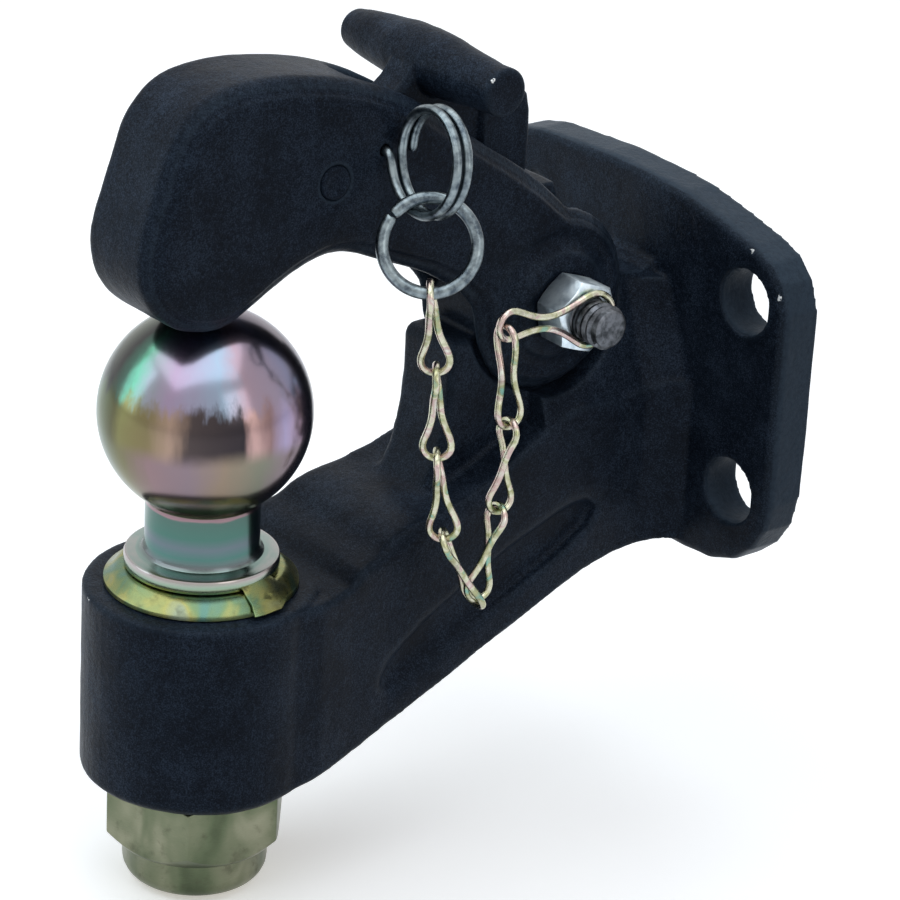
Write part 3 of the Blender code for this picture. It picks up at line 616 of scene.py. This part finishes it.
# Forgings: waves are (size mm, depth mm, seed), nicks are (x, y, z, radius), and rim is the flange's
# thickness. Faired, soft and kept places are capsules
jawOutline = [((0, -22, 36), (0, -22, 80), 18.0), ((0, -14, 86), (0, 40, 88), 18.0),
              ((0, 40, 86), (0, 92, 58), 17.0), ((0, -6, 32), (0, 24, 44), 17.0),
              ((0, 30, 44), (0, 78, 22), 16.0)]
plainForging = {"faired": [], "fairing": 0, "soft": [], "softening": 0, "kept": [], "chamfer": 0.0,
                "rim": 0.0}
forgings = {
    "hook_body": {
        "voxel": 1.0,
        "rounds": 2,
        "soft": [((-24, 44, -44), (24, 60, -46), 12.0), ((-24, 60, -58), (24, 78, -50), 10.0),
                 ((29, 46, -85), (29, 119, -46), 7.0), ((-29, 46, -85), (-29, 119, -46), 7.0)],
        "softening": 26,
        "waves": [(18.0, 0.3, 1.0), (5.0, 0.08, 2.0)],
        "rim": 13.5,
        "edgeRub": 0.25,
        "nicks": [(27.0, 21.5, -61.5, 2.0), (27.0, 53.5, -88.7, 3.5), (47.9, 152.0, 31.3, 2.2),
                  (60.6, 152.0, 22.0, 2.0), (64.0, 154.0, 18.8, 1.5), (-9.0, -31.5, -54.0, 4.0)],
    },
    "jaw": {
        "voxel": 0.8,
        "rounds": 2,
        "faired": jawOutline,
        "fairing": 50,
        "soft": jawOutline,
        "softening": 4,
        "kept": [((-20, 29.4, 64.4), (20, 29.4, 64.4), 4.5), ((-20, 45.3, 71.0), (20, 45.3, 71.0), 2.6)],
        "chamfer": 5.0,
        "chamferFrom": 10.4,
        "waves": [(16.0, 0.25, 5.0), (4.0, 0.07, 6.0)],
        "edgeRub": 0.7,
        "nicks": [(12.0, -28.2, 91.2, 3.0), (12.0, -24.6, 87.0, 4.0), (16.0, 17.4, 88.0, 2.5),
                  (11.0, -28.3, 68.5, 2.0)],
    },
    "latch": {
        "voxel": 0.55,
        "rounds": 3,
        "waves": [(9.0, 0.2, 8.0), (3.0, 0.07, 9.0)],
        "edgeRub": 0.3,
        "nicks": [(34.0, 66.0, 92.5, 1.6), (8.0, 96.0, 79.0, 2.5)],
    },
}
for node, spec in forgings.items():
    skin = finished(forged(node + "_skin", node, {**plainForging, **spec}), node, None)
    print(node, "skin ready,", len(skin.data.polygons), "faces")


# Ball with its neck, base flange and shank, heights from the ball's centre
ball = {"neck": 15.875, "base": 21.5, "baseTop": -41.2, "baseLow": -45.3, "end": -135.5, "steps": 60}


def makeBall():
    neck, base, top, low = (ball[key] for key in ("neck", "base", "baseTop", "baseLow"))
    angles = np.linspace(math.asin(neck / ballRadius), math.pi, ball["steps"])
    sphere = [(ballRadius * math.sin(angle), -ballRadius * math.cos(angle)) for angle in angles[:-1]]
    underside = sphere[0][1]
    shank = [(neck - 1.6, ball["end"]), (neck, ball["end"] + 1.6), (neck, low)]
    flange = [(base - 0.8, low), (base - 0.2, low + 0.25), (base, low + 0.8), (base, top - 1.0),
              (base - 0.3, top - 0.3), (base - 1.0, top)]
    fillet = [(neck + 2.6, top + 0.1), (neck + 1.2, top + 0.5), (neck + 0.4, top + 1.2), (neck, top + 2.4),
              (neck, underside - 1.2), (neck + 0.15, underside - 0.4)]
    profile = shank + flange + fillet + sphere[1:] + [(0.0, ballRadius)]
    finished(turned("tow_ball_turned", profile, sides=144), "tow_ball", 24.0)


makeBall()

# Washer under the ball: a cone on a thin brim, with a torn tab bent down on the barrel
washer = {
    "bore": 16.2, "top": 22.6, "brim": 27.0, "low": -50.3, "high": -45.6,
    "tab": [(20.9, -1.8), (20.6, 3.4), (19.2, 8.9), (22.1, 12.4), (24.7, 11.7), (28.7, 6.5), (29.5, 0.4),
            (29.3, -2.8), (25.9, -1.5), (23.3, -1.8)],
    "tabThick": 0.7,
    "tabSlope": 0.77,
}


def makeWasher():
    bore, top, brim, low, high = (washer[key] for key in ("bore", "top", "brim", "low", "high"))
    profile = [(bore, low), (brim, low), (brim - 0.1, low + 1.0), (brim - 0.7, low + 1.35),
               (top + 1.8, high - 1.5), (top + 0.4, high - 0.2), (top - 0.4, high), (bore, high)]
    cone = turned("seat_washer_turned", profile, sides=120, ring=True)
    finished(cone, "ball_seat_washer", 30.0)

    # The tab lies over the cone and droops past the brim
    points = []
    for x, y in washer["tab"]:
        rise = 1.9 + (brim - math.hypot(x, y)) * washer["tabSlope"]
        points.append(toFrame(x, y, low + max(0.8, rise)))
    mesh = bpy.data.meshes.new("washer_tab")
    mesh.from_pydata(points, [], [list(range(len(points)))])
    tab = linked("washer_tab", mesh)
    modify(tab, "SOLIDIFY", thickness=washer["tabThick"] * mm, offset=0.0)
    finished(softened(cleaned(tab), 0.2), "ball_seat_washer", 40.0, stands=False)


makeWasher()

# Ball nut: chamfered hexagon over a rolled collar
ballNut = {"across": 47.625, "low": -129.1, "high": -108.1, "phase": -9.6, "lowRise": 1.1, "highRise": 0.45,
           "collarLow": -140.7, "collar": 20.575, "bore": 16.175, "insert": 18.975, "insertLow": -138.3}


def makeBallNut():
    collar, bore, insert = (ballNut[key] for key in ("collar", "bore", "insert"))
    low, seat = ballNut["collarLow"], ballNut["insertLow"]
    nut = hexagon("ball_nut_turned", ballNut, (0.0, 0.0, 0.0), "Z")
    outer = [(collar - 3.4, low), (collar - 2.0, low + 0.3), (collar - 0.9, low + 1.6),
             (collar - 0.2, low + 3.2), (collar, low + 5.0), (collar, ballNut["low"] + 1.0)]
    combine(nut, turned("collar", outer), "UNION")
    inner = [(bore, low - 2.0), (bore, seat), (insert, seat), (insert, seat + 5.0), (bore, seat + 5.0),
             (bore, ballNut["high"] + 2.0)]
    combine(nut, turned("bore", inner))
    finished(softened(cleaned(nut, weld), 0.35), "ball_nut", 35.0)


makeBallNut()

# Pivot bolt with its nut: the thread shows past the nut's face
pivot = (0.0, 109.2, 14.1)
pivotNut = {"across": 19.05, "low": 18.8, "high": 29.7, "phase": 11.0, "lowRise": 0.5, "highRise": 0.5,
            "bore": 6.65}
pivotBolt = {"across": 19.05, "low": -26.8, "high": -18.8, "phase": 0.0, "lowRise": 0.5, "highRise": 0.0,
             "shank": 6.35, "root": 5.55, "end": 40.0, "threadStart": 27.0, "pitch": 2.0, "crest": 0.82}


# A thread ridge wound on a shank, built as Geometry Nodes
def threadTree(material):
    tree = bpy.data.node_groups.new("thread", "GeometryNodeTree")
    tree.interface.new_socket("Geometry", in_out="OUTPUT", socket_type="NodeSocketGeometry")
    sockets = {}
    for name in ("Radius", "Pitch", "Turns", "Crest"):
        socket = tree.interface.new_socket(name, in_out="INPUT", socket_type="NodeSocketFloat")
        sockets[name] = socket.identifier
    source = tree.nodes.new("NodeGroupInput").outputs
    spiral = tree.nodes.new("GeometryNodeCurveSpiral")
    spiral.inputs["Resolution"].default_value = 48
    height = tree.nodes.new("ShaderNodeMath")
    height.operation = "MULTIPLY"
    ridge = tree.nodes.new("GeometryNodeCurvePrimitiveCircle")
    ridge.inputs["Resolution"].default_value = 4
    sweep = tree.nodes.new("GeometryNodeCurveToMesh")
    sweep.inputs["Fill Caps"].default_value = True
    real = tree.nodes.new("GeometryNodeRealizeInstances")
    coat = tree.nodes.new("GeometryNodeSetMaterial")
    coat.inputs["Material"].default_value = material
    result = tree.nodes.new("NodeGroupOutput")
    for start, end in (
        (source["Radius"], spiral.inputs["Start Radius"]),
        (source["Radius"], spiral.inputs["End Radius"]),
        (source["Turns"], spiral.inputs["Rotations"]),
        (source["Turns"], height.inputs[0]),
        (source["Pitch"], height.inputs[1]),
        (height.outputs[0], spiral.inputs["Height"]),
        (source["Crest"], ridge.inputs["Radius"]),
        (spiral.outputs["Curve"], sweep.inputs["Curve"]),
        (ridge.outputs["Curve"], sweep.inputs["Profile Curve"]),
        (sweep.outputs["Mesh"], real.inputs["Geometry"]),
        (real.outputs["Geometry"], coat.inputs["Geometry"]),
        (coat.outputs["Geometry"], result.inputs["Geometry"]),
    ):
        tree.links.new(start, end)
    return tree, sockets


# The ridge as a mesh, from start mm along the axis through centre
def wound(name, slot, centre, facing, start, sizes):
    obj = linked(name, bpy.data.meshes.new(name))
    tree, sockets = threadTree(looks[slot])
    change = obj.modifiers.new("thread", "NODES")
    change.node_group = tree
    for key, value in sizes.items():
        change[sockets[key]] = value
    settled(obj)
    along = Matrix.Translation((0.0, 0.0, start * mm))
    obj.data.transform(Matrix.Translation(toFrame(*centre)) @ facings[facing] @ along)
    return cleaned(obj)


def makePivot():
    bore = pivotNut["bore"]
    nut = hexagon("pivot_nut_turned", pivotNut, pivot, "X")
    combine(nut, turned("bore", [(bore, 0.0), (bore, 50.0)], pivot, "X", 64))
    finished(softened(cleaned(nut, weld), 0.25), "pivot_nut", 35.0)

    shank, root, first, last = (pivotBolt[key] for key in ("shank", "root", "threadStart", "end"))
    profile = [(shank, pivotBolt["high"] - 3.0), (shank, first - 0.6), (root, first), (root, last - 0.5),
               (root - 0.5, last - 0.1), (root - 1.0, last), (0.0, last - 0.05)]
    bolt = hexagon("pivot_bolt_turned", pivotBolt, pivot, "X")
    combine(bolt, turned("stem", profile, pivot, "X", 64), "UNION")
    finished(softened(cleaned(bolt, weld), 0.25), "pivot_bolt", 35.0)

    pitch = pivotBolt["pitch"]
    sizes = {"Radius": root * mm, "Pitch": pitch * mm, "Turns": (last - first - 2.2) / pitch,
             "Crest": pivotBolt["crest"] * mm}
    thread = wound("pivot_bolt_thread", "bolt_steel", pivot, "X", first + 0.6, sizes)
    finished(thread, "pivot_bolt", 30.0, stands=False)


makePivot()
print("ball, washer, nuts and bolt ready")

# Latch pin: painted over, its heads hammered unevenly
latchPin = {"centre": (0.0, 29.4, 64.4), "radius": 4.8, "half": 16.2, "dents": 2.2, "dentDepth": 0.25}


def makeLatchPin():
    radius, half = latchPin["radius"], latchPin["half"]
    head = [(0.0, half - 0.5), (radius * 0.35, half - 0.55), (radius * 0.6, half - 0.25),
            (radius * 0.78, half), (radius * 0.9, half - 0.15), (radius, half - 0.9)]
    profile = [(reach, -height) for reach, height in head] + head[::-1]
    pin = turned("latch_pin_turned", profile, latchPin["centre"], "X", 40)
    for vertex in pin.data.vertices:
        side = math.copysign(1.0, vertex.co.x)
        dent = noise.noise(vertex.co / (latchPin["dents"] * mm)) * latchPin["dentDepth"] - 0.1
        vertex.co.x += side * dent * mm
    finished(pin, "latch_pin", 40.0)


makeLatchPin()

# Wires: rounded copies of the CAD coils, ring and links, thickened by so many mm
wires = {"safety_pin": 0.12, "tether_ring": 0.20}
wires.update({"chain_link_%d" % index: 0.22 for index in range(1, 9)})
for node, grow in wires.items():
    wire = cadCopy(node + "_wire", node)
    modify(wire, "SUBSURF", levels=2, render_levels=2)
    places = arrayOf(wire.data, "co") + arrayOf(wire.data, "normal") * grow * mm
    wire.data.vertices.foreach_set("co", places.ravel())
    wire.data.update()
    finished(wire, node, 60.0)

# Latch spring: a smoothed copy of the CAD coil, with a mesh of its own
coil = cadCopy("latch_spring_wire", "latch_spring")
modify(coil, "SUBSURF", levels=1, render_levels=1)
finished(coil, "latch_spring", 60.0)
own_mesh(coil)
print("pin and wires ready")

# Floor, lights and world: lamps are (name, place, size, watts, colour)
stage = {
    "floor": (0.93, 0.93, 0.93),
    "floorBounce": (0.30, 0.30, 0.31),
    "floorGlow": (0.42, 0.40, 0.37),
    "floorHalf": 6.0,
    "floorGap": 0.002,
    "sky": (0.26, 0.30, 0.37),
    "lampTarget": (0.0, -0.1, 0.0),
    "lamps": [
        ("top", (-0.1, -0.3, 1.5), (2.3, 2.3), 22.0, (0.92, 0.97, 1.0)),
        ("left", (-0.9, -1.3, 0.55), (0.8, 1.2), 5.0, (0.74, 0.92, 1.0)),
        ("right", (1.6, -0.1, 0.7), (0.8, 1.0), 3.0, (1.0, 0.97, 0.94)),
    ],
}


# 1 for camera, mirror and glass rays, which see the background's colour; other rays see a dimmer one
def seen(graph):
    names = ("Is Camera Ray", "Is Glossy Ray", "Is Transmission Ray")
    camera, glossy, transmission = (graph.node("ShaderNodeLightPath", output=name) for name in names)
    return (camera + glossy + transmission).maths("MINIMUM", 1.0)


def makeFloor():
    graph = surface("floor", Roughness=0.9, Emission_Strength=1.0)
    share = seen(graph)
    graph.drive("Base Color", graph.mixColour(share, stage["floorBounce"], stage["floor"]))
    graph.drive("Emission Color", graph.mixColour(share, (0.0, 0.0, 0.0), stage["floorGlow"]))
    half = stage["floorHalf"]
    corners = [(-half, -half, 0), (half, -half, 0), (half, half, 0), (-half, half, 0)]
    mesh = bpy.data.meshes.new("floor")
    mesh.from_pydata(corners, [], [(0, 1, 2, 3)])
    mesh.materials.append(graph.owner)
    floor = linked("floor", mesh)
    floor.location.z = cadLow.z - stage["floorGap"]


def makeLight():
    world = bpy.data.worlds.new("world")
    bpy.context.scene.world = world
    graph = Graph(world, "Background", Strength=1.0)
    graph.drive("Color", graph.mixColour(seen(graph), stage["sky"], (1.0, 1.0, 1.0)))
    for name, place, size, power, colour in stage["lamps"]:
        data = bpy.data.lights.new(name, "AREA")
        data.shape = "RECTANGLE"
        data.size, data.size_y = size
        data.energy = power
        data.color = colour
        lamp = linked(name, data)
        lamp.location = place
        aim = Vector(stage["lampTarget"]) - Vector(place)
        lamp.rotation_euler = aim.to_track_quat("-Z", "Y").to_euler()
    bpy.context.scene.view_settings.view_transform = "Standard"


makeFloor()
makeLight()
print("stage ready")
